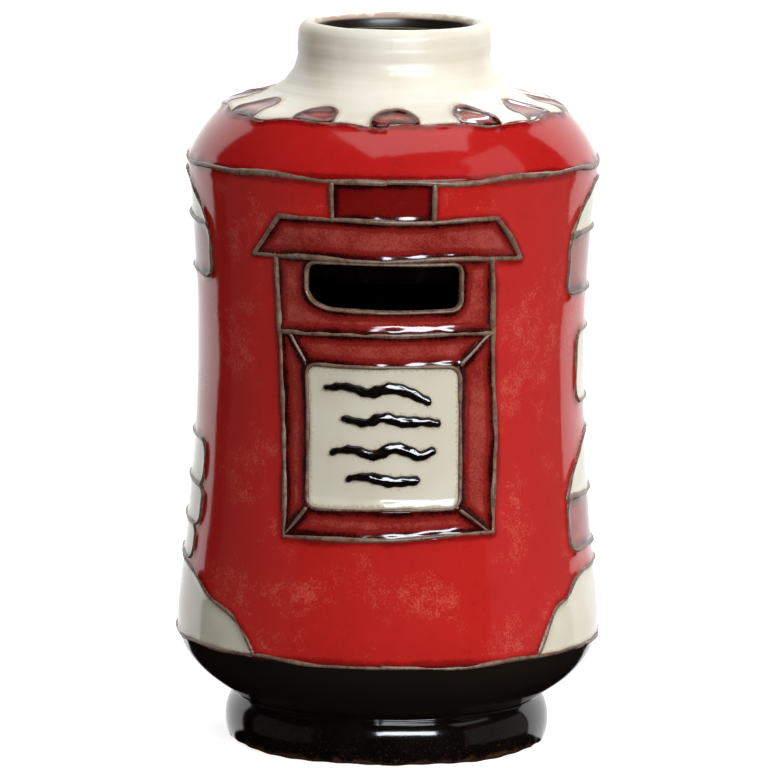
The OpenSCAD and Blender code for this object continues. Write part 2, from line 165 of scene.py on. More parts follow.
# %% Measure distances on the skin
def wander(u, v):
    du = 0.16 * np.sin(v / 6.1 + 0.8) + 0.09 * np.sin(u / 2.9 + v / 4.3)
    dv = 0.17 * np.sin(u / 5.3 + 2.1) + 0.09 * np.sin(v / 3.1 - u / 3.7)
    return u + du, v + dv


def beside(u, middle):
    return (u - middle + TURN / 2) % TURN - TURN / 2 + middle


def to_path(u, v, path, closed=False):
    path = np.array(path, float)
    u = beside(u, path[:, 0].mean())
    ends = np.roll(path, -1, axis=0) if closed else path[1:]
    near = np.full(np.shape(u), 1e9)
    for a, b in zip(path, ends):
        d = b - a
        t = np.clip(((u - a[0]) * d[0] + (v - a[1]) * d[1]) / max(d @ d, 1e-9), 0, 1)
        near = np.minimum(near, np.hypot(u - a[0] - t * d[0], v - a[1] - t * d[1]))
    return near


def to_shape(u, v, path):
    near = to_path(u, v, path, closed=True)
    path = np.array(path, float)
    u = beside(u, path[:, 0].mean())
    within = np.zeros(np.shape(u), bool)
    for a, b in zip(path, np.roll(path, -1, axis=0)):
        if a[1] != b[1]:
            cross = a[0] + (v - a[1]) * (b[0] - a[0]) / (b[1] - a[1])
            within ^= ((a[1] > v) != (b[1] > v)) & (u < cross)
    return np.where(within, -near, near)


def blended(a, b, soft_mm=0.5):
    h = np.clip(0.5 + 0.5 * (b - a) / soft_mm, 0, 1)
    return b * (1 - h) + a * h - soft_mm * h * (1 - h)


# %% Soften a drawn corner
def softened(path, size, closed=True):
    path = np.array(path, float)
    for cut_mm in (size, size * 0.42, size * 0.2):
        after = np.roll(path, -1, axis=0) if closed else path[1:]
        before = path if closed else path[:-1]
        length = np.linalg.norm(after - before, axis=1)[:, None]
        share = np.minimum(cut_mm / length, 0.27)
        cut = np.stack([before + (after - before) * share, after + (before - after) * share], axis=1)
        cut = cut.reshape(-1, 2)
        path = cut if closed else np.vstack([path[:1], cut, path[-1:]])
    return path


# %% Turn what is seen from one side into places on the skin
def facing(path, side=0):
    path = np.array(path, float) + [0, base_z]
    lean = np.arcsin(np.clip(path[:, 0] / radius_at(path[:, 1]), -0.99, 0.99))
    return np.column_stack([(math.radians(side) + lean) * ROUND, path[:, 1]])


def around(path):
    path = np.array(path, float) + [0, base_z]
    return np.column_stack([np.radians(path[:, 0]) * ROUND, path[:, 1]])


# %% [markdown]
# ## From a distance to a closed piece
# The distances are sampled on a fine grid over the skin. Cells that are wholly inside give square
# faces. Cells that the edge runs through are cut along it, so a curve stays a curve. The sheet is
# then closed with a back that is sunk a little into the clay and a rim between the two. A boolean
# of solids would give the same outline, but not a surface that swells towards its edge.

# %% List the ways an edge can cross a cell
def cell_cuts():
    cuts = {}
    for code in range(1, 16):
        within = [bool(code & 1 << k) for k in range(4)]
        ring, rims = [], []
        for k in range(4):
            if within[k]:
                ring.append(k)
            if within[k] != within[(k + 1) % 4]:
                ring.append(k + 4)
        for k, item in enumerate(ring):
            after = ring[(k + 1) % len(ring)]
            if item >= 4 and after >= 4 and within[item - 4]:
                rims.append((k, (k + 1) % len(ring)))
        cuts[code] = (ring, rims)
    return cuts


CUTS = cell_cuts()


# %% Find where on the skin a shape lies
def window(outline, pace=1.5):
    us = np.arange(-TURN / 2, TURN / 2, pace)
    vs = np.arange(skin_v[0] - 3, skin_v[-1] + 3, pace)
    near = outline(*np.meshgrid(us, vs, indexing="ij")) < pace
    columns, rows = near.any(1), near.any(0)
    wraps = columns.mean() > 0.5
    span = None if wraps else (us[columns].min() - pace, us[columns].max() + pace)
    return span, (vs[rows].min() - pace, vs[rows].max() + pace)


# %% Cut the grid into a sheet
def sheet(outline, step):
    span, rise = window(outline)
    wraps = span is None
    columns = int(round(TURN / step)) if wraps else int((span[1] - span[0]) / step) + 2
    du = TURN / columns if wraps else step
    us = (0 if wraps else span[0]) + np.arange(columns) * du
    vs = rise[0] + np.arange(int((rise[1] - rise[0]) / step) + 2) * step
    U, V = np.meshgrid(us, vs, indexing="ij")
    F = outline(U, V)
    F[:, [0, -1]] = np.maximum(F[:, [0, -1]], 0.01)
    if not wraps:
        F[[0, -1], :] = np.maximum(F[[0, -1], :], 0.01)
    inside = F < 0
    ref = np.full((3,) + F.shape, -1)
    points = [np.column_stack([U[inside], V[inside]])]
    ref[0][inside] = np.arange(inside.sum())
    count = inside.sum()
    for axis in (0, 1):
        F2 = np.roll(F, -1, axis=axis)
        crossed = (F < 0) != (F2 < 0)
        if axis == 1 or not wraps:
            crossed[(slice(None), -1) if axis == 1 else (-1, slice(None))] = False
        t = np.clip(F[crossed] / (F[crossed] - F2[crossed]), 0.03, 0.97)
        move = np.column_stack([t * du * (axis == 0), t * step * (axis == 1)])
        points.append(np.column_stack([U[crossed], V[crossed]]) + move)
        ref[1 + axis][crossed] = count + np.arange(crossed.sum())
        count += crossed.sum()
    return np.vstack(points), *cut_cells(inside, ref, wraps)


def cut_cells(inside, ref, wraps):
    i, j = np.meshgrid(np.arange(inside.shape[0] - (not wraps)), np.arange(inside.shape[1] - 1),
                       indexing="ij")
    i, j = i.ravel(), j.ravel()
    i2 = (i + 1) % inside.shape[0]
    marks = np.stack([inside[i, j], inside[i2, j], inside[i2, j + 1], inside[i, j + 1]])
    code = (marks * np.array([[1], [2], [4], [8]])).sum(0)
    refs = np.stack([ref[0][i, j], ref[0][i2, j], ref[0][i2, j + 1], ref[0][i, j + 1],
                     ref[1][i, j], ref[2][i2, j], ref[1][i, j + 1], ref[2][i, j]], axis=1)
    faces, rims = [], []
    for cut, (ring, edges) in CUTS.items():
        found = refs[code == cut]
        if len(found):
            faces += found[:, ring].tolist()
            for a, b in edges:
                rims += found[:, [ring[a], ring[b]]].tolist()
    return faces, rims


# %% Make a piece, and close a sheet into one
SINK = 0.3
pieces = []


def piece_of(name, points, faces):
    mesh = bpy.data.meshes.new(name)
    mesh.from_pydata(points.tolist(), [], faces)
    mesh.polygons.foreach_set("use_smooth", [True] * len(mesh.polygons))
    piece = bpy.data.objects.new(name, mesh)
    bpy.context.scene.collection.objects.link(piece)
    pieces.append(piece)
    return mesh


def laid(name, outline, lift, step=0.4, marks=None):
    flat, faces, rims = sheet(outline, step)
    u, v = flat[:, 0], flat[:, 1]
    edge = outline(u, v)
    top = on_skin(u, v, lift(u, v, edge))
    back = on_skin(u, v, np.full(len(u), -SINK))
    n = len(u)
    closing = [[f + n for f in reversed(face)] for face in faces]
    closing += [[b, a, a + n, b + n] for a, b in rims]
    mesh = piece_of(name, np.vstack([top, back]), faces + closing)
    for label, field in (marks or {}).items():
        values = np.tile(field(u, v, edge), 2).astype(np.float32)
        mesh.attributes.new(label, "FLOAT", "POINT").data.foreach_set("value", values)
    print(f"{name}: {len(faces)} cells, {len(mesh.polygons)} faces")


# %% [markdown]
# ## The sections
# Slip stands up as a low round cord. Its width follows the hand's pressure, so it swells and thins
# by a tenth or so every few millimetres. Glaze lies as a sheet of glass half a millimetre deep. It
# clings to the cords and climbs them, which leaves the soft hollow that catches the light. Before
# it set it also ran down a little, and a sagged pool lies thickest over the line below it.

# %% Lift a cord and lift a pool
CORD, CORD_H, GLAZE = 0.63, 1.04, 0.46


def hand_width(u, v, half=CORD):
    press = 0.09 * np.sin(u / 3.3 + v / 2.7) + 0.07 * np.sin(v / 1.9 - u / 5.1 + 1.3)
    return half * (1 + press)


def cord_lift(u, v, edge, half=CORD, height=CORD_H):
    depth = np.clip(-edge / half, 0, 1)
    lumps = 1 + 0.05 * np.sin(u / 1.7 + 0.6 * v) + 0.05 * np.sin(v / 1.3 - 0.4 * u)
    return 0.05 + (height - 0.05) * lumps * np.sqrt(np.clip(1 - (1 - depth) ** 2, 0, 1))


def cord_of(half, height):
    def lift(u, v, edge):
        return cord_lift(u, v, edge, half, height)
    return lift


def pool_lift(u, v, edge):
    press = 1 + 0.25 * np.sin(u / 1.1 + v / 3.7) + 0.2 * np.sin(v / 1.3 - u / 4.1)
    climb = 0.27 * press * np.exp(-np.clip(-edge - 0.45, 0, 9) / 0.55)
    swell = 0.03 * np.sin(u / 4.7 + v / 3.9) + 0.025 * np.sin(v / 2.6 - u / 6.1)
    return GLAZE + climb + swell


def pool_depth(u, v, edge):
    return -edge - 0.6


def sagged(low_up, reach_mm, slope):
    def lift(u, v, edge):
        uneven = 1 + 0.16 * np.sin(u / 0.9) + 0.14 * np.sin(u / 2.3 + 1)
        run_down = np.clip(reach_mm - (v - base_z - low_up), 0, reach_mm) * uneven
        return pool_lift(u, v, np.minimum(edge, -1.2)) + slope * run_down
    return lift


# %% [markdown]
# ## The front, as it was drawn
# The front is a letter box: a lintel of one brick, a hood with a slope at each end, a plate round
# the coin slot, and a panelled door with a notice. The corners are given as they are seen from the
# front, in millimetres across and up from the base line. They are not quite square or level,
# because no ruler was used.

# %% Draw the front
slot_low, slot_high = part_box("slot_line")
slot_l, slot_r = slot_low.x / MM + 1.5, slot_high.x / MM - 2.7
slot_b, slot_t = slot_low.z / MM + 1.5 - base_z, slot_high.z / MM - 0.5 - base_z
hood_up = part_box("hood_line")[0].z / MM + 0.75 - base_z
top_up = shoulder_z - base_z
print(f"the slot is {slot_r - slot_l:.1f} mm wide and {slot_t - slot_b:.1f} mm high")

lintel = facing([(-10.4, 86.7), (8.8, 86.7), (8.8, top_up + 2), (-10.4, top_up + 2)])
hood = facing([(-25.5, hood_up - 0.2), (-12, hood_up - 0.1), (0, hood_up), (12, hood_up + 0.1),
               (25.1, hood_up - 0.2), (23.4, 83.1), (20.8, 86.8), (8, 86.5), (-8, 86.9), (-20.8, 86.6),
               (-23.3, 82.5)])
slot_plate = facing([(-21.4, hood_up), (19.8, hood_up), (20.4, 64.3), (0, 64.6), (-20.3, 64.0)])
door = facing([(-20.2, 64.0), (0, 64.6), (20.4, 64.3), (20.8, 44.5), (20.8, 25.4), (0, 24.7),
               (-19.1, 24.1), (-19.4, 43.5)])
notice = softened(facing([(-15.0, 58.0), (-2, 58.4), (14.2, 57.9), (14.3, 43.5), (14.3, 30.3), (0, 30.5),
                          (-14.8, 30.0), (-14.9, 43.5)]), 1.3)
head = facing([(-18.4, 64.1), (0, 64.6), (19.8, 64.3), (14.2, 58.0), (-15, 58.0)])
left = facing([(-20.2, 64.0), (-18.4, 64.1), (-15, 58.0), (-14.8, 30.1), (-18.9, 24.7), (-19.1, 24.1),
               (-19.4, 43.5)])
right = facing([(19.8, 64.3), (20.4, 64.3), (20.8, 44.5), (20.8, 25.4), (19.9, 25.5), (14.3, 30.3),
                (14.2, 58.0)])
sill = facing([(-18.9, 24.4), (0, 24.7), (19.9, 25.4), (14.3, 30.3), (-14.8, 30.1)])
slot = softened(facing([(slot_l + 4.0, slot_b + 0.1), (0, slot_b - 0.2), (slot_r - 0.9, slot_b + 0.1),
                        (slot_r, slot_b + 1.0), (slot_r + 0.1, slot_t - 0.8), (slot_r - 0.7, slot_t),
                        (slot_l + 0.9, slot_t), (slot_l, slot_t - 0.9), (slot_l, slot_b + 3.0),
                        (slot_l + 1.2, slot_b + 1.2)]), 0.5)
mitres = [facing([(-18.4, 64.1), (-15.2, 58.5)]), facing([(19.8, 64.3), (14.4, 58.5)]),
          facing([(-18.9, 24.5), (-14.9, 29.9)]), facing([(19.9, 25.5), (14.5, 29.9)])]
mark_paths = [
    [(-11.1, 53.8), (-8.6, 54.2), (-6.3, 54.0), (-3.2, 52.8), (-0.8, 53.7), (1.4, 54.2), (4.5, 53.4),
     (8.0, 51.5)],
    [(-7.9, 47.9), (-5.8, 47.5), (-3.7, 46.9), (-0.5, 48.7), (3.0, 47.3), (6.2, 47.7), (9.8, 47.2)],
    [(-10.0, 41.2), (-7.6, 42.0), (-5.0, 41.8), (-1.7, 40.5), (1.1, 42.7), (4.6, 41.9), (6.6, 40.5),
     (9.1, 41.8)],
    [(-6.7, 36.2), (-4.6, 36.8), (-1.7, 36.5), (1.6, 35.7), (6.0, 36.1)],
]
mark_paths = [softened(facing(path), 1.5, closed=False) for path in mark_paths]
print("front shapes drawn:", 10 + len(mitres) + len(mark_paths))


# %% [markdown]
# ## The sides and the back
# Snow lies on bricks that show through the red, and drifts stand along the foot of the wall. Only
# their front edges are known. The rest is carried on round the pot in the same manner.

# %% Draw the sides and the back
def brick(side, low, height, half):
    high = low + height
    return softened(facing([(-half, low), (half, low), (half, high), (-half, high)], side), 1.6)


def snow_cap(side, low, half, height, lean=0.0):
    t = np.linspace(0, 1, 15)
    top = low + height * np.sin(np.pi * t) ** 0.7 * (1 + lean * (t - 0.5))
    return facing(np.column_stack([half * (2 * t - 1), top]), side)


bricks = [brick(90, 69.5, 12, 17.5), brick(90, 18.5, 10.5, 17.5), brick(-90, 72.5, 10.5, 17.6),
          brick(180, 63.5, 11, 15), brick(152, 27.5, 10, 9), brick(-152, 39.5, 10, 9)]
caps = [snow_cap(90, 81.5, 17.2, 10, -0.2), snow_cap(90, 29.0, 17.2, 12.5), snow_cap(-90, 83.0, 17.2, 9),
        snow_cap(180, 74.5, 14.7, 8), snow_cap(152, 37.5, 8.8, 6), snow_cap(-152, 49.5, 8.8, 6)]
lobes = [brick(90, 47.5, 14, 11.5), brick(-90, 30.5, 9, 15.2), brick(-90, 22.5, 8, 15.8),
         brick(-90, 15.5, 7, 14.2)]
lobes = [softened(lobe, 2.4) for lobe in lobes]
drifts = [
    [(-36.5, -1.5), (-38.5, 2.1), (-43, 5.9), (-47.5, 7.7), (-56.4, 9.3), (-62, 12.1), (-68.2, 13.7),
     (-82, 15.1), (-95, 14.3), (-108, 11.0), (-120, 9.5), (-134, 4.0), (-144, -1.5)],
    [(45, -1.5), (47.5, 3.0), (53, 9.1), (60, 9.9), (64, 12.9), (72, 14.3), (80, 14.2), (96, 15.3),
     (110, 11.5), (124, 7.5), (134, 3.0), (141, -1.5)],
    [(154, -1.5), (160, 4.5), (170, 8.1), (180, 8.9), (190, 7.0), (200, 3.9), (206, -1.5)],
]
drifts = [softened(around(path), 3) for path in drifts]
print("side and back shapes drawn:", len(bricks) + len(caps) + len(lobes) + len(drifts))


# %% Measure from the drawn shapes
def shapes(paths):
    def field(u, v):
        u, v = wander(u, v)
        return np.min([to_shape(u, v, path) for path in paths], axis=0)
    return field


def strokes(paths, half=CORD, closed=False):
    def field(u, v):
        wide = hand_width(u, v, half)
        u, v = wander(u, v)
        found = None
        for path in paths:
            near = to_path(u, v, path, closed) - wide
            found = near if found is None else blended(found, near)
        return found
    return field


def cleared(field, *holes):
    def both(u, v):
        return np.max([field(u, v)] + [-hole(u, v) for hole in holes], axis=0)
    return both


# %% [markdown]
# ## Cords of slip
# The cords are made first, one piece for each node of the frame. Where two cords of a piece meet
# they blend, as wet slip does. Where cords of two pieces meet, one simply runs into the other.

# %% Trail the level lines
def level(height, half):
    def field(u, v):
        swing = 0.28 * np.sin(u / 7.3 + height) + 0.16 * np.sin(u / 3.1)
        return np.abs(v - height - swing) - hand_width(u, v, half)
    return field


laid("shoulder_line_cord", level(shoulder_z, 0.66), cord_lift, step=0.3)
laid("base_line_cord", level(base_z, 0.52), cord_lift, step=0.3)

# %% Trail the front
laid("hood_line_cord", strokes([hood], closed=True), cord_lift, 0.3)
lintel_cords = cleared(strokes([lintel[[0, 3]], lintel[[1, 2]]]), lambda u, v: shoulder_z - v)
laid("lintel_lines_cord", lintel_cords, cord_lift, 0.3)
laid("slot_box_lines_cord", strokes([slot_plate[[0, 4]], slot_plate[[1, 2]]]), cord_lift, 0.3)
laid("crossbar_line_cord", strokes([slot_plate[[2, 3, 4]]], 0.66), cord_lift, 0.3)
laid("frame_line_cord", strokes([door[[2, 3, 4, 5, 6, 7, 0]]]), cord_lift, 0.3)
laid("mitre_lines_cord", strokes(mitres, 0.5), cord_lift, 0.3)
laid("notice_line_cord", strokes([notice], 0.52, closed=True), cord_lift, 0.3)


# %% Trail round the slot
SLOT_HALF = 0.42


def slot_edge(u, v):
    return to_shape(u, v, slot)


def slot_cord(u, v):
    ring = np.abs(slot_edge(u, v) - 0.5) - hand_width(u, v, SLOT_HALF)
    return np.maximum(ring, v - hood_up - base_z)


laid("slot_line_cord", slot_cord, cord_of(SLOT_HALF, 0.95), 0.25)


# %% Trail the sides and the back
laid("brick_lines_cord", strokes(bricks + caps + lobes, closed=True), cord_lift, step=0.42)
drift_cords = cleared(strokes(drifts, closed=True), lambda u, v: v - base_z)
laid("drift_lines_cord", drift_cords, cord_lift, step=0.42)

# %% [markdown]
# ## Cells along the snow
# A row of small half-round cells hangs inside the edge of the snow. They are drawn from above, so
# their distances are taken in plan. Their spacing wanders by a few degrees.

# %% Draw the cells
CELL_W, CELL_D = 4.6, 8.0
SNOW_HALF, CELL_HALF, FINE_H = 0.40, 0.42, 0.85
cell_turns = [-92, -60, -27, 2, 32, 61, 89, 119, 148, 178, 209, 239]


def cell_edge(u, v):
    r = radius_at(v)
    near = np.full(np.shape(u), 1e9)
    for k, turn in enumerate(cell_turns):
        angle = u / ROUND - math.radians(turn)
        across, deep = r * np.sin(angle), SNOW_R + 1.0 - r * np.cos(angle)
        wide = CELL_W * (1 + 0.08 * math.sin(3 * k))
        tall = CELL_D * (1 + 0.10 * math.cos(5 * k))
        ring = (np.hypot(across / wide, deep / tall) - 1) * 5.0
        near = np.minimum(near, np.where(np.cos(angle) > 0, ring, 1e9))
    return near


def under_snow(u, v):
    return v - snow_v + 0.8 - 0.45 * np.sin(u / 5.7) - 0.3 * np.sin(u / 2.3 + 1)


def snow_cord(u, v):
    return np.abs(under_snow(u, v)) - hand_width(u, v, SNOW_HALF)


def cell_cord(u, v):
    ring = np.abs(cell_edge(u, v)) - hand_width(u, v, CELL_HALF)
    return np.maximum(ring, -under_snow(u, v))


laid("snow_edge_line_cord", snow_cord, cord_of(SNOW_HALF, FINE_H), step=0.25)
laid("cell_lines_cord", cell_cord, cord_of(CELL_HALF, FINE_H), step=0.28)
print("cells:", len(cell_turns))


# %% [markdown]
# ## Pools of glaze
# Each pool reaches to the middle of the cords that fence it, so its rim is hidden. Every point
# keeps how far it is from the nearest cord. The glazes use that to darken where they run deep.

# %% Flood the wall
front_shapes = shapes([lintel, hood, slot_plate, door])
side_shapes = shapes(bricks + caps + lobes + drifts)


def wall_edge(u, v):
    return np.max([-front_shapes(u, v), -side_shapes(u, v), base_z - v, v - shoulder_z], axis=0)


def shoulder_edge(u, v):
    return np.maximum(shoulder_z - v, under_snow(u, v))


POOL = {"pool": pool_depth}
laid("barrel_glaze_pool", wall_edge, pool_lift, step=0.72, marks=POOL)
laid("shoulder_glaze_pool", shoulder_edge, pool_lift, step=0.6, marks=POOL)

# %% Flood the front
lintel_edge = shapes([lintel])
laid("lintel_glaze_pool", lambda u, v: np.maximum(lintel_edge(u, v), v - shoulder_z), pool_lift, 0.4,
     marks=POOL)
laid("hood_glaze_pool", shapes([hood]), pool_lift, 0.4, marks=POOL)
slot_plate_edge = cleared(shapes([slot_plate]), lambda u, v: slot_edge(u, v) - 0.35)
laid("slot_surround_glaze_pool", slot_plate_edge, sagged(65.0, 1.3, 0.27), 0.35, marks=POOL)
for side, member in (("head", head), ("left", left), ("right", right), ("sill", sill)):
    laid(f"frame_{side}_glaze_pool", shapes([member]), pool_lift, 0.35, marks=POOL)


# %% [markdown]
# The strokes are thick black glaze on the notice. A loaded brush leaves more towards the end of each
# stroke, with a ragged edge. Each one leans: it is thickest along its lower side, so its upper side
# faces the window in front and shines.

# %% Flood the notice and paint its strokes
def mark_edge(u, v):
    found = None
    for path in mark_paths:
        start, end = path[0][0], path[-1][0]
        t = np.clip((beside(u, 0) - start) / (end - start), 0, 1)
        half = 0.66 + 0.52 * np.sin(np.pi * np.clip(t * 0.78 + 0.02, 0, 1)) ** 1.4
        ragged = 0.08 * np.sin(u / 0.42) + 0.07 * np.sin(v / 0.3 + u / 0.9)
        near = to_path(u, v, path) - half - ragged
        found = near if found is None else np.minimum(found, near)
    return found


def mark_lift(u, v, edge):
    above = np.full(np.shape(u), 1e9)
    for path in mark_paths:
        rise = v - np.interp(beside(u, 0), path[:, 0], path[:, 1])
        above = np.where(np.abs(rise) < np.abs(above), rise, above)
    tilt = 0.21 * (1 + 0.35 * np.sin(u / 0.75 + v / 2.1) * np.sin(u / 1.9 + v))
    lean = 0.4 * np.clip(above, -0.8, -0.1) - tilt * np.clip(above, -0.1, 0.8)
    return 0.50 + cord_lift(u, v, edge, 0.42, 0.62) + lean


def notice_depth(u, v, edge):
    return np.minimum(-edge - 0.6, mark_edge(u, v))


laid("notice_glaze_pool", shapes([notice]), sagged(30.9, 1.5, 0.16), 0.35, marks={"pool": notice_depth})
laid("notice_marks_strokes", mark_edge, mark_lift, 0.22)

# %% Flood the bricks and the snow
brick_field = shapes(bricks)
cap_field = cleared(shapes(caps), brick_field)
lobe_field = shapes(lobes)
laid("brick_glaze_pool", brick_field, pool_lift, step=0.6, marks=POOL)
laid("brick_snow_glaze_pool", lambda u, v: np.minimum(cap_field(u, v), lobe_field(u, v)), pool_lift,
     step=0.6, marks=POOL)
drift_field = shapes(drifts)
laid("drift_glaze_pool", lambda u, v: np.maximum(drift_field(u, v), base_z - v), pool_lift,
     step=0.55, marks=POOL)

# %% Flood the shoulder cells, the neck and the base
laid("shoulder_cells_pool", lambda u, v: np.maximum(cell_edge(u, v), -under_snow(u, v)), pool_lift,
     step=0.4, marks=POOL)
lip_v = float(skin_v[int(np.argmax(skin_z))])
end_v = float(skin_v[-1])


def neck_edge(u, v):
    return np.max([-cell_edge(u, v), -under_snow(u, v), v - end_v + 0.1], axis=0)


def neck_lift(u, v, edge):
    rings = 0.05 * np.sin(v * 1.9) + 0.03 * np.sin(v * 4.7 + 0.5 * np.sin(u / 9))
    fade = np.clip((v - snow_v - 6) / 3, 0, 1) * np.clip((lip_v - v) / 2, 0, 1)
    thin = np.clip((v - lip_v - 1) / 3, 0, 1)
    return pool_lift(u, v, np.where(v > lip_v - 3, -9, edge)) * (1 - 0.3 * thin) + rings * fade


laid("neck_glaze_pool", neck_edge, neck_lift, step=0.5,
     marks={"pool": pool_depth, "lip": lambda u, v, e: v - lip_v})
foot_v = float(np.interp(0.8, skin_z[:200], skin_v[:200]))
laid("base_glaze_pool", lambda u, v: np.maximum(v - base_z, foot_v + 0.25 * np.sin(u / 6) - v), pool_lift,
     step=0.6, marks={"pool": pool_depth, "foot": lambda u, v, e: v - foot_v})


# %% [markdown]
# ## The stopper
# The plug under the pot is moulded in soft rubber, and it is taken out downwards by a bar across its
# flange. It is turned from a profile with rounded corners and a slight draft, as a mould gives. A
# primitive cylinder would have none of that.

# %% Turn the stopper
def turned(name, profile, segments=144):
    profile = np.array(profile, float)
    angle = np.linspace(0, 2 * math.pi, segments, endpoint=False)
    rings = [np.column_stack([r * np.cos(angle), r * np.sin(angle), np.full(segments, z)])
             for r, z in profile]
    verts = np.vstack(rings + [[[0, 0, profile[0][1]]], [[0, 0, profile[-1][1]]]]) * MM
    faces = []
    for ring in range(len(profile) - 1):
        for k in range(segments):
            k2 = (k + 1) % segments
            a, b = ring * segments, (ring + 1) * segments
            faces.append([a + k, a + k2, b + k2, b + k])
    low, high = len(verts) - 2, len(verts) - 1
    last = (len(profile) - 1) * segments
    for k in range(segments):
        k2 = (k + 1) % segments
        faces.append([low, k2, k])
        faces.append([high, last + k, last + k2])
    piece_of(name, verts, faces)


def corner(r, z, size, turn_from, steps=5):
    angle = np.radians(np.linspace(turn_from, turn_from + 90, steps))
    return [(r + size * math.cos(a), z + size * math.sin(a)) for a in angle]


stop_low, stop_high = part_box("base_stopper")
flange_r, plug_top = stop_high.x / MM, stop_high.z / MM
grip_low = stop_low.z / MM
flange_low, flange_top, plug_r = grip_low + 2.6, grip_low + 5.0, flange_r - 3.06
bung = [(0.5, flange_low + 0.25), (plug_r - 4, flange_low + 0.25), (plug_r - 3.2, flange_low)]
bung += corner(flange_r - 0.7, flange_low + 0.7, 0.7, -90)
bung += corner(flange_r - 0.5, flange_top - 0.5, 0.5, 0)
bung += [(plug_r + 0.5, flange_top), (plug_r - 0.1, flange_top + 0.4), (plug_r, flange_top + 1.6)]
bung += [(plug_r - 0.05, plug_top - 1.4)] + corner(plug_r - 1.1, plug_top - 1.0, 1.0, 0)
bung += [(plug_r - 3, plug_top), (0.5, plug_top - 0.2)]
turned("base_stopper_bung", bung)
print(f"stopper flange {2 * flange_r:.1f} mm across, plug {2 * plug_r:.1f} mm")


# %% Mould the grip
def bar(name, half_l, half_w, low, high):
    count = 96
    around_bar = np.linspace(0, 2 * math.pi, count, endpoint=False)
    levels = [(low, 1.0), (low + 0.12, 0.55), (low + 0.35, 0.2), (low + 0.8, 0.0), (high - 0.5, 0.0),
              (high, -0.35)]
    rings = []
    for z, inset in levels:
        w = half_w - inset
        x = np.sign(np.cos(around_bar)) * (half_l - half_w) + w * np.cos(around_bar)
        rings.append(np.column_stack([x, w * np.sin(around_bar), np.full(count, z)]))
    faces = []
    for low_k in range(0, (len(levels) - 1) * count, count):
        for k in range(count):
            k2 = (k + 1) % count
            faces.append([low_k + k, low_k + k2, low_k + count + k2, low_k + count + k])
    last = (len(levels) - 1) * count
    faces += [list(range(count - 1, -1, -1)), list(range(last, last + count))]
    piece_of(name, np.vstack(rings) * MM, faces)


bar("base_stopper_grip", 7.0, 1.5, grip_low, flange_low + 0.5)


# %% [markdown]
# ## Colours and nodes
# Colours are written as they are seen, in sRGB hex. The renderer reckons in linear light, so one
# function turns them. Another small function adds a node with its settings and its links.

# %% Helpers for materials
def seen(text):
    parts = [int(text[i:i + 2], 16) / 255 for i in (1, 3, 5)]
    return tuple(p / 12.92 if p <= 0.04045 else ((p + 0.055) / 1.055) ** 2.4 for p in parts) + (1.0,)


def add(tree, kind, settings=None, values=None, links=None):
    node = tree.nodes.new(kind)
    for name, value in (settings or {}).items():
        setattr(node, name, value)
    for name, value in (values or {}).items():
        node.inputs[name].default_value = value
    for name, source in (links or {}).items():
        tree.links.new(source, node.inputs[name])
    return node


def stops(node, ramp):
    elements = node.color_ramp.elements
    while len(elements) < len(ramp):
        elements.new(0.5)
    for element, (place, colour) in zip(elements, ramp):
        element.position = place
        element.color = seen(colour)
    return node


def grain(tree, size_mm, detail=3.0, rough=0.55):
    place = add(tree, "ShaderNodeTexCoord")
    return add(tree, "ShaderNodeTexNoise",
               values={"Scale": 1 / (size_mm * MM), "Detail": detail, "Roughness": rough},
               links={"Vector": place.outputs["Object"]}).outputs["Fac"]


def span_of(tree, source, low, high, to_low=0.0, to_high=1.0):
    return add(tree, "ShaderNodeMapRange", {"interpolation_type": "SMOOTHSTEP"},
               {"From Min": low, "From Max": high, "To Min": to_low, "To Max": to_high},
               {"Value": source}).outputs[0]


def mixed(tree, amount, a, b):
    node = add(tree, "ShaderNodeMix", {"data_type": "RGBA"})
    for socket, value in ((node.inputs[0], amount), (node.inputs[6], a), (node.inputs[7], b)):
        if isinstance(value, (int, float, tuple)):
            socket.default_value = value
        else:
            tree.links.new(value, socket)
    return node.outputs[2]


def summed(tree, a, b, how="ADD"):
    node = add(tree, "ShaderNodeMath", {"operation": how})
    for socket, value in zip(node.inputs, (a, b)):
        if isinstance(value, (int, float)):
            socket.default_value = value
        else:
            tree.links.new(value, socket)
    return node.outputs[0]


def begun(name):
    material = bpy.data.materials.new(name)
    material.use_nodes = True
    material.node_tree.nodes.clear()
    return material, material.node_tree


def finished(tree, colour, rough, bump=None, bump_mm=0.02, **values):
    surface = add(tree, "ShaderNodeBsdfPrincipled", values=values)
    for name, value in (("Base Color", colour), ("Roughness", rough)):
        if isinstance(value, (int, float, tuple)):
            surface.inputs[name].default_value = value
        else:
            tree.links.new(value, surface.inputs[name])
    if bump is not None:
        relief = add(tree, "ShaderNodeBump", values={"Strength": 1.0, "Distance": bump_mm * MM},
                     links={"Height": bump})
        tree.links.new(relief.outputs[0], surface.inputs["Normal"])
    add(tree, "ShaderNodeOutputMaterial", links={"Surface": surface.outputs[0]})


def mark(tree, name):
    return add(tree, "ShaderNodeAttribute", {"attribute_name": name}).outputs["Fac"]


def ragged_mark(tree, name, size_mm, by_mm):
    return summed(tree, mark(tree, name), span_of(tree, grain(tree, size_mm), 0.3, 0.7, -by_mm, by_mm))


# %% [markdown]
# ## Red glazes
# The red is a thin, see-through stain under clear glass on pale clay. Where it is thin the clay
# shines through and it turns salmon; where it gathers against a cord it goes almost black. Grains
# of colour a third of a millimetre across give it its bloom. The glass itself is smooth: index
# 1.5 and a roughness near 0.1, because lead-free glazes come out a touch softer than window glass.

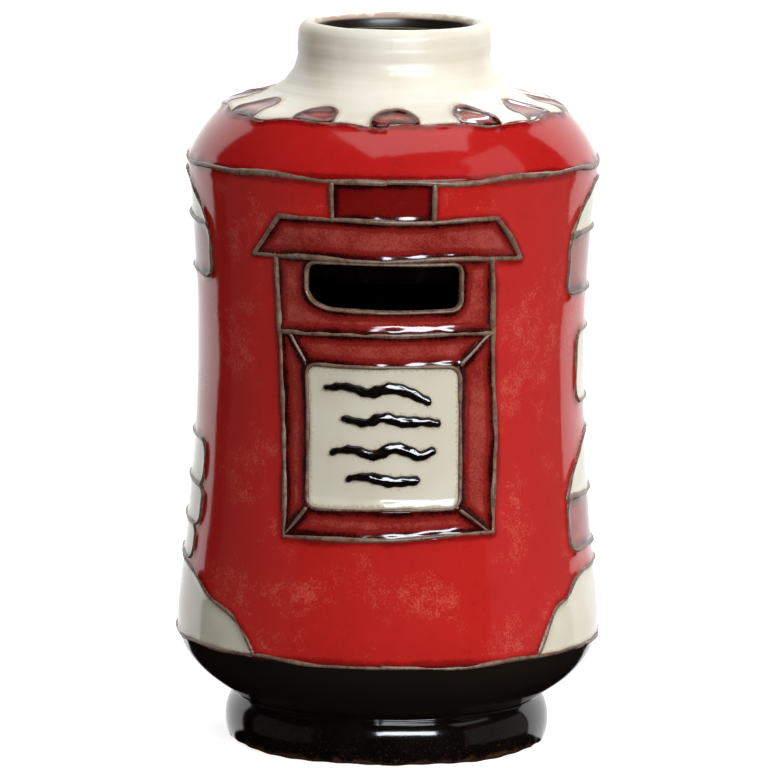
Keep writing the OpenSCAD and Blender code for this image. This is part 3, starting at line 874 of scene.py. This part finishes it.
# %% Mix the reds
def red_glaze(name, deep, full, thin, reach_mm, thin_share, uneven):
    material, tree = begun(name)
    patches = span_of(tree, grain(tree, 11, 2.0), 0.30, 0.72, -0.20 * uneven, 0.26 * uneven)
    bloom = span_of(tree, grain(tree, 2.2, 3.0, 0.6), 0.30, 0.70, -0.12 * uneven, 0.12 * uneven)
    grains = span_of(tree, grain(tree, 0.4, 2.0, 0.7), 0.35, 0.68, -0.09, 0.09)
    depth = span_of(tree, mark(tree, "pool"), -0.1, reach_mm)
    level_in = summed(tree, summed(tree, depth, thin_share, "MULTIPLY"), patches)
    level_in = summed(tree, level_in, summed(tree, grains, bloom))
    tone = stops(add(tree, "ShaderNodeValToRGB", links={"Fac": level_in}),
                 [(0.0, deep), (0.40, full), (0.62, full), (1.0, thin)])
    finished(tree, tone.outputs[0], 0.10, grain(tree, 2.4, 1.0), 0.012, IOR=1.5)
    return material


wall_red = red_glaze("red_glaze_thin_wash", "#8A1513", "#BB2420", "#DC6A56", 1.3, 0.54, 0.58)
shoulder_red = red_glaze("red_glaze_full_coat", "#7C0D0E", "#B01D1B", "#C43A30", 1.2, 0.50, 0.5)
pooled_red = red_glaze("dark_red_glaze_pooled", "#2A0505", "#84201B", "#AE4D42", 2.0, 0.78, 0.5)
lintel_red = red_glaze("dark_red_glaze_deep", "#240405", "#76110F", "#93261F", 1.6, 0.52, 0.6)
print("reds:", wall_red.name, shoulder_red.name, pooled_red.name)


# %% [markdown]
# ## Cream glaze
# Clear glaze over the pale clay body: warm ivory, never pure white. It stains faintly brown beside
# slip and beside the black strokes, where iron creeps out into it. On the neck the throwing rings
# show as the faintest bands, and at the lip it wears thin over the dark lining. The neck is fired to
# satin (roughness 0.32), so the lamps blur on it; the notice and the snow are glossier.

# %% Mix the creams
def cream_glaze(name, ivory, warm, stain, rough=0.13, lip=False):
    material, tree = begun(name)
    clouds = span_of(tree, grain(tree, 12, 2.0), 0.3, 0.7)
    body = mixed(tree, clouds, seen(ivory), seen(warm))
    fleck = span_of(tree, grain(tree, 0.3, 2.0, 0.7), 0.60, 0.72, 0.0, 0.16)
    body = mixed(tree, fleck, body, seen("#A8906F"))
    seep = span_of(tree, ragged_mark(tree, "pool", 0.5, 0.3), -0.3, 0.55, 0.5, 0.0)
    body = mixed(tree, seep, body, seen(stain))
    if lip:
        worn = span_of(tree, ragged_mark(tree, "lip", 3, 0.4), 0.5, 1.5)
        body = mixed(tree, worn, body, seen("#B79F8B"))
        dark = span_of(tree, mark(tree, "lip"), 1.4, 2.0)
        body = mixed(tree, dark, body, seen("#1B1411"))
    finished(tree, body, rough, grain(tree, 2.8, 1.0), 0.012, IOR=1.5)
    return material


neck_cream = cream_glaze("cream_glaze_on_neck", "#E8E4D7", "#E0D8C6", "#A98C74", 0.32, lip=True)
notice_cream = cream_glaze("cream_glaze_on_notice", "#D9D5C4", "#D2CBB8", "#8F7355")
snow_cream = cream_glaze("cream_glaze_snow", "#E2DDCC", "#D8D0BA", "#A98F79")


# %% [markdown]
# ## Slip cords
# Slip fires to a warm taupe. Clear glaze thins over its crown, so the top of the cord looks dry and
# paler, and its foot darker. Fine grog gives it a grain of about a fifth of a millimetre; it is
# drawn at 0.35 mm here, as coarse as it has to be to show.

# %% Mix the slip
def slip(name, pale, deep):
    material, tree = begun(name)
    tone = span_of(tree, grain(tree, 1.8, 3.0), 0.32, 0.68)
    body = mixed(tree, tone, seen(deep), seen(pale))
    grit = span_of(tree, grain(tree, 0.35, 2.0, 0.7), 0.5, 0.72, 0.0, 0.5)
    body = mixed(tree, grit, body, seen("#4A332B"))
    rough = span_of(tree, grain(tree, 0.9), 0.3, 0.7, 0.22, 0.42)
    finished(tree, body, rough, grain(tree, 0.45, 2.0), 0.03, IOR=1.5)
    return material


cord_slip = slip("slip_line_fired_taupe", "#876C5A", "#644C3D")
arch_slip = slip("slip_line_fired_pink_brown", "#946B5D", "#744D42")


# %% [markdown]
# ## Black glaze, bare clay and rubber
# The base is dipped in an iron-black glaze. It is dense and glossy, and it breaks to rust in pin
# specks where it is thin, most of all near the floor. Its black is painted a touch lighter from
# above the foot up, a painted reflection of the light the belly catches, so the foot is painted
# blackest. The foot ring is wiped, so the pot stands on bare fired clay: matt, sandy and buff. The
# stopper is moulded rubber with a fine spark-eroded bloom.

# %% Mix the black
def black_glaze(name, rust_share, foot=False, rough=0.10):
    material, tree = begun(name)
    body = mixed(tree, span_of(tree, grain(tree, 6, 2.0), 0.3, 0.7), seen("#090706"), seen("#100C0A"))
    if foot:
        # Painted reflection: 8 to 15 mm up from the foot the black is painted lighter, for the light the
        # belly catches; the foot stays blackest.
        body = mixed(tree, span_of(tree, mark(tree, "foot"), 8.0, 15.0), body, seen("#1B1612"))
    amount = span_of(tree, grain(tree, 0.45, 2.0, 0.65), 0.60, 0.70, 0.0, rust_share)
    if foot:
        near = span_of(tree, mark(tree, "foot"), 0.2, 9.0, 1.0, 0.15)
        amount = summed(tree, amount, near, "MULTIPLY")
    body = mixed(tree, amount, body, seen("#5A2E1C"))
    if foot:
        worn = span_of(tree, ragged_mark(tree, "foot", 2, 0.5), 0.2, 1.2, 0.8, 0.0)
        body = mixed(tree, worn, body, seen("#4A3224"))
    finished(tree, body, rough, grain(tree, 2.6, 1.0), 0.012, IOR=1.5)
    return material


base_black = black_glaze("black_glaze_iron_dipped", 0.55, foot=True)
lining_black = black_glaze("black_glaze_lining", 0.35)
stroke_black = black_glaze("black_glaze_brushed_thick", 0.30, rough=0.07)


# %% Mix the clay and the rubber
def bare_clay(name):
    material, tree = begun(name)
    body = mixed(tree, span_of(tree, grain(tree, 5, 4.0), 0.3, 0.7), seen("#D8C9AE"), seen("#C7B292"))
    body = mixed(tree, span_of(tree, grain(tree, 0.4, 2.0), 0.62, 0.72, 0.0, 0.6), body, seen("#8A6B4C"))
    finished(tree, body, 0.85, grain(tree, 0.4, 4.0, 0.7), 0.05)
    return material


def moulded_rubber(name):
    material, tree = begun(name)
    body = mixed(tree, span_of(tree, grain(tree, 4, 3.0), 0.3, 0.7), seen("#1D1D1E"), seen("#2A2A2B"))
    rough = span_of(tree, grain(tree, 1.2, 3.0), 0.3, 0.7, 0.48, 0.66)
    finished(tree, body, rough, grain(tree, 0.3, 3.0, 0.7), 0.02)
    return material


foot_clay = bare_clay("fired_clay_bare")
stopper_rubber = moulded_rubber("stopper_rubber_moulded")

# %% [markdown]
# ## Dressing the pieces
# Each piece stands for one node of the frame, rides on that node's body and takes its finish from
# the table below. The clay and the dark lining keep the frame's own solids.

# %% Give every piece its finish and its body
finishes = {
    "snow_edge_line": cord_slip, "cell_lines": arch_slip, "shoulder_cells": pooled_red,
    "neck_glaze": neck_cream, "shoulder_glaze": shoulder_red, "shoulder_line": cord_slip,
    "barrel_glaze": wall_red, "lintel_lines": cord_slip, "lintel_glaze": lintel_red, "hood_line": cord_slip,
    "hood_glaze": pooled_red, "slot_box_lines": cord_slip, "slot_line": cord_slip,
    "slot_surround_glaze": pooled_red, "crossbar_line": cord_slip, "frame_line": cord_slip,
    "mitre_lines": cord_slip, "frame_head_glaze": pooled_red, "frame_left_glaze": pooled_red,
    "frame_right_glaze": pooled_red, "frame_sill_glaze": pooled_red, "notice_line": cord_slip,
    "notice_glaze": notice_cream, "notice_marks": stroke_black, "brick_lines": cord_slip,
    "brick_glaze": pooled_red, "brick_snow_glaze": snow_cream, "drift_lines": cord_slip,
    "drift_glaze": snow_cream, "base_line": cord_slip, "base_glaze": base_black,
    "base_stopper": stopper_rubber,
}
for piece in pieces:
    node = piece.name.rsplit("_", 1)[0]
    piece.data.materials.append(finishes[node])
    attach(piece, "stopper" if node == "base_stopper" else "pot")
    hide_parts(node)
for node, material in (("clay_body", foot_clay), ("inner_glaze", lining_black)):
    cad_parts[node].data.materials.clear()
    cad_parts[node].data.materials.append(material)
print("pieces dressed:", len(pieces))

# %% [markdown]
# ## The stage
# A pale floor runs back to a white wall. Glass shows every lamp as a shape, so the lamps are few and
# broad. The two side banks are five panels each, one wider than the next, which gives their
# reflections soft edges. The window in front is only there to be mirrored: it draws the small white
# glints on the cords and strokes, while the key in much the same place gives the light and isn't
# mirrored. The floor, the wall and the air hardly tint the pot, because their white would grey the
# black base. The floor is open under the foot, so that the underside can be looked at.

# %% Lay the floor and the wall
STAND_R, FLOOR_R, FLOOR_SIDES = 0.0300, 4.0, 128


def ring_of(radius):
    turns = [2 * math.pi * k / FLOOR_SIDES for k in range(FLOOR_SIDES)]
    return [(radius * math.cos(turn), radius * math.sin(turn), 0) for turn in turns]


def paper(name, points, faces, place=(0, 0, 0), turn=(0, 0, 0), glow=0.0, mirrored=False):
    mesh = bpy.data.meshes.new(name)
    mesh.from_pydata(points, [], faces)
    panel = bpy.data.objects.new(name, mesh)
    panel.location = place
    panel.rotation_euler = turn
    bpy.context.scene.collection.objects.link(panel)
    material, tree = begun(name + "_paper")
    finished(tree, seen("#F4F4F2"), 0.9, **{"Emission Color": seen("#FFFFFF"), "Emission Strength": glow})
    mesh.materials.append(material)
    panel.visible_glossy = mirrored
    panel.visible_diffuse = False


after = [(k + 1) % FLOOR_SIDES for k in range(FLOOR_SIDES)]
floor_faces = [(k, k + FLOOR_SIDES, k2 + FLOOR_SIDES, k2) for k, k2 in enumerate(after)]
paper("studio_floor", ring_of(STAND_R) + ring_of(FLOOR_R), floor_faces, glow=0.80)
paper("studio_wall", [(-4, -2.5, 0), (4, -2.5, 0), (4, 2.5, 0), (-4, 2.5, 0)], [(0, 1, 2, 3)],
      (0, 2.6, 1.5), (math.radians(90), 0, 0), glow=1.0, mirrored=True)
print("floor open to", STAND_R / MM, "mm")


# %% Hang the lamps
def lamp(name, place, aim, width, height, glow, tint="#FFFFFF", mirrored=True, lights=True):
    data = bpy.data.lights.new(name, "AREA")
    data.shape = "RECTANGLE"
    data.size, data.size_y = width, height
    data.energy = glow * math.pi * width * height
    data.color = seen(tint)[:3]
    holder = bpy.data.objects.new(name, data)
    holder.location = place
    holder.rotation_euler = (Vector(aim) - Vector(place)).to_track_quat("-Z", "Y").to_euler()
    holder.visible_glossy = mirrored
    holder.visible_diffuse = lights
    bpy.context.scene.collection.objects.link(holder)


PANELS = 5


def soft_bank(name, place, aim, width, height, glow):
    for k in range(PANELS):
        lamp(f"{name}_{k}", place, aim, width * (0.6 + 0.2 * k), height, glow / PANELS)


middle, low_middle = (0, 0, 0.08), (0, 0, 0.06)
lamp("overhead_bank", (0.06, -0.12, 0.95), middle, 0.74, 0.60, 1.65)
soft_bank("left_bank", (-0.60, -0.12, 0.06), low_middle, 0.46, 0.36, 0.36)
soft_bank("right_bank", (0.62, -0.02, 0.06), low_middle, 0.52, 0.36, 0.95)
lamp("right_wing", (0.62, -0.20, 0.62), middle, 0.40, 0.34, 0.80)
lamp("front_window", (0.325, -1.094, 0.45), middle, 0.92, 0.22, 26.0, "#F2F6FF", lights=False)
lamp("back_strip", (0.28, 0.85, 0.85), middle, 0.50, 0.16, 10.0)
lamp("key", (0.75, -1.1, 0.75), middle, 0.9, 0.9, 7.3, mirrored=False)
world = bpy.data.worlds.new("studio_air")
world.use_nodes = True
world.node_tree.nodes["Background"].inputs["Color"].default_value = (1, 1, 1, 1)
world.node_tree.nodes["Background"].inputs["Strength"].default_value = 0.30
world.cycles_visibility.glossy = False
bpy.context.scene.world = world
bpy.context.scene.view_settings.view_transform = "Standard"

# %% [markdown]
# ## The camera
# A long lens from a little above, level with a shopper's eye. It stands slightly to the right of the
# pot's front and is turned a hair about its own axis.

# %% Set the camera
CAM_D, CAM_Z, CAM_TURN, CAM_ROLL = 1.300, 0.2826, 1.45, -0.67
eye = Vector((CAM_D * math.sin(math.radians(CAM_TURN)), -CAM_D * math.cos(math.radians(CAM_TURN)), CAM_Z))
aim = Vector((-0.00127, 0, 0.0708))
camera_data = bpy.data.cameras.new("camera")
camera_data.lens = 311.1
camera_data.sensor_width = 36
camera_data.clip_end = 20
camera = bpy.data.objects.new("camera", camera_data)
bpy.context.scene.collection.objects.link(camera)
look = (aim - eye).to_track_quat("-Z", "Y")
camera.matrix_world = (Matrix.Translation(eye) @ look.to_matrix().to_4x4()
                       @ Matrix.Rotation(math.radians(-CAM_ROLL), 4, "Z"))
bpy.context.scene.camera = camera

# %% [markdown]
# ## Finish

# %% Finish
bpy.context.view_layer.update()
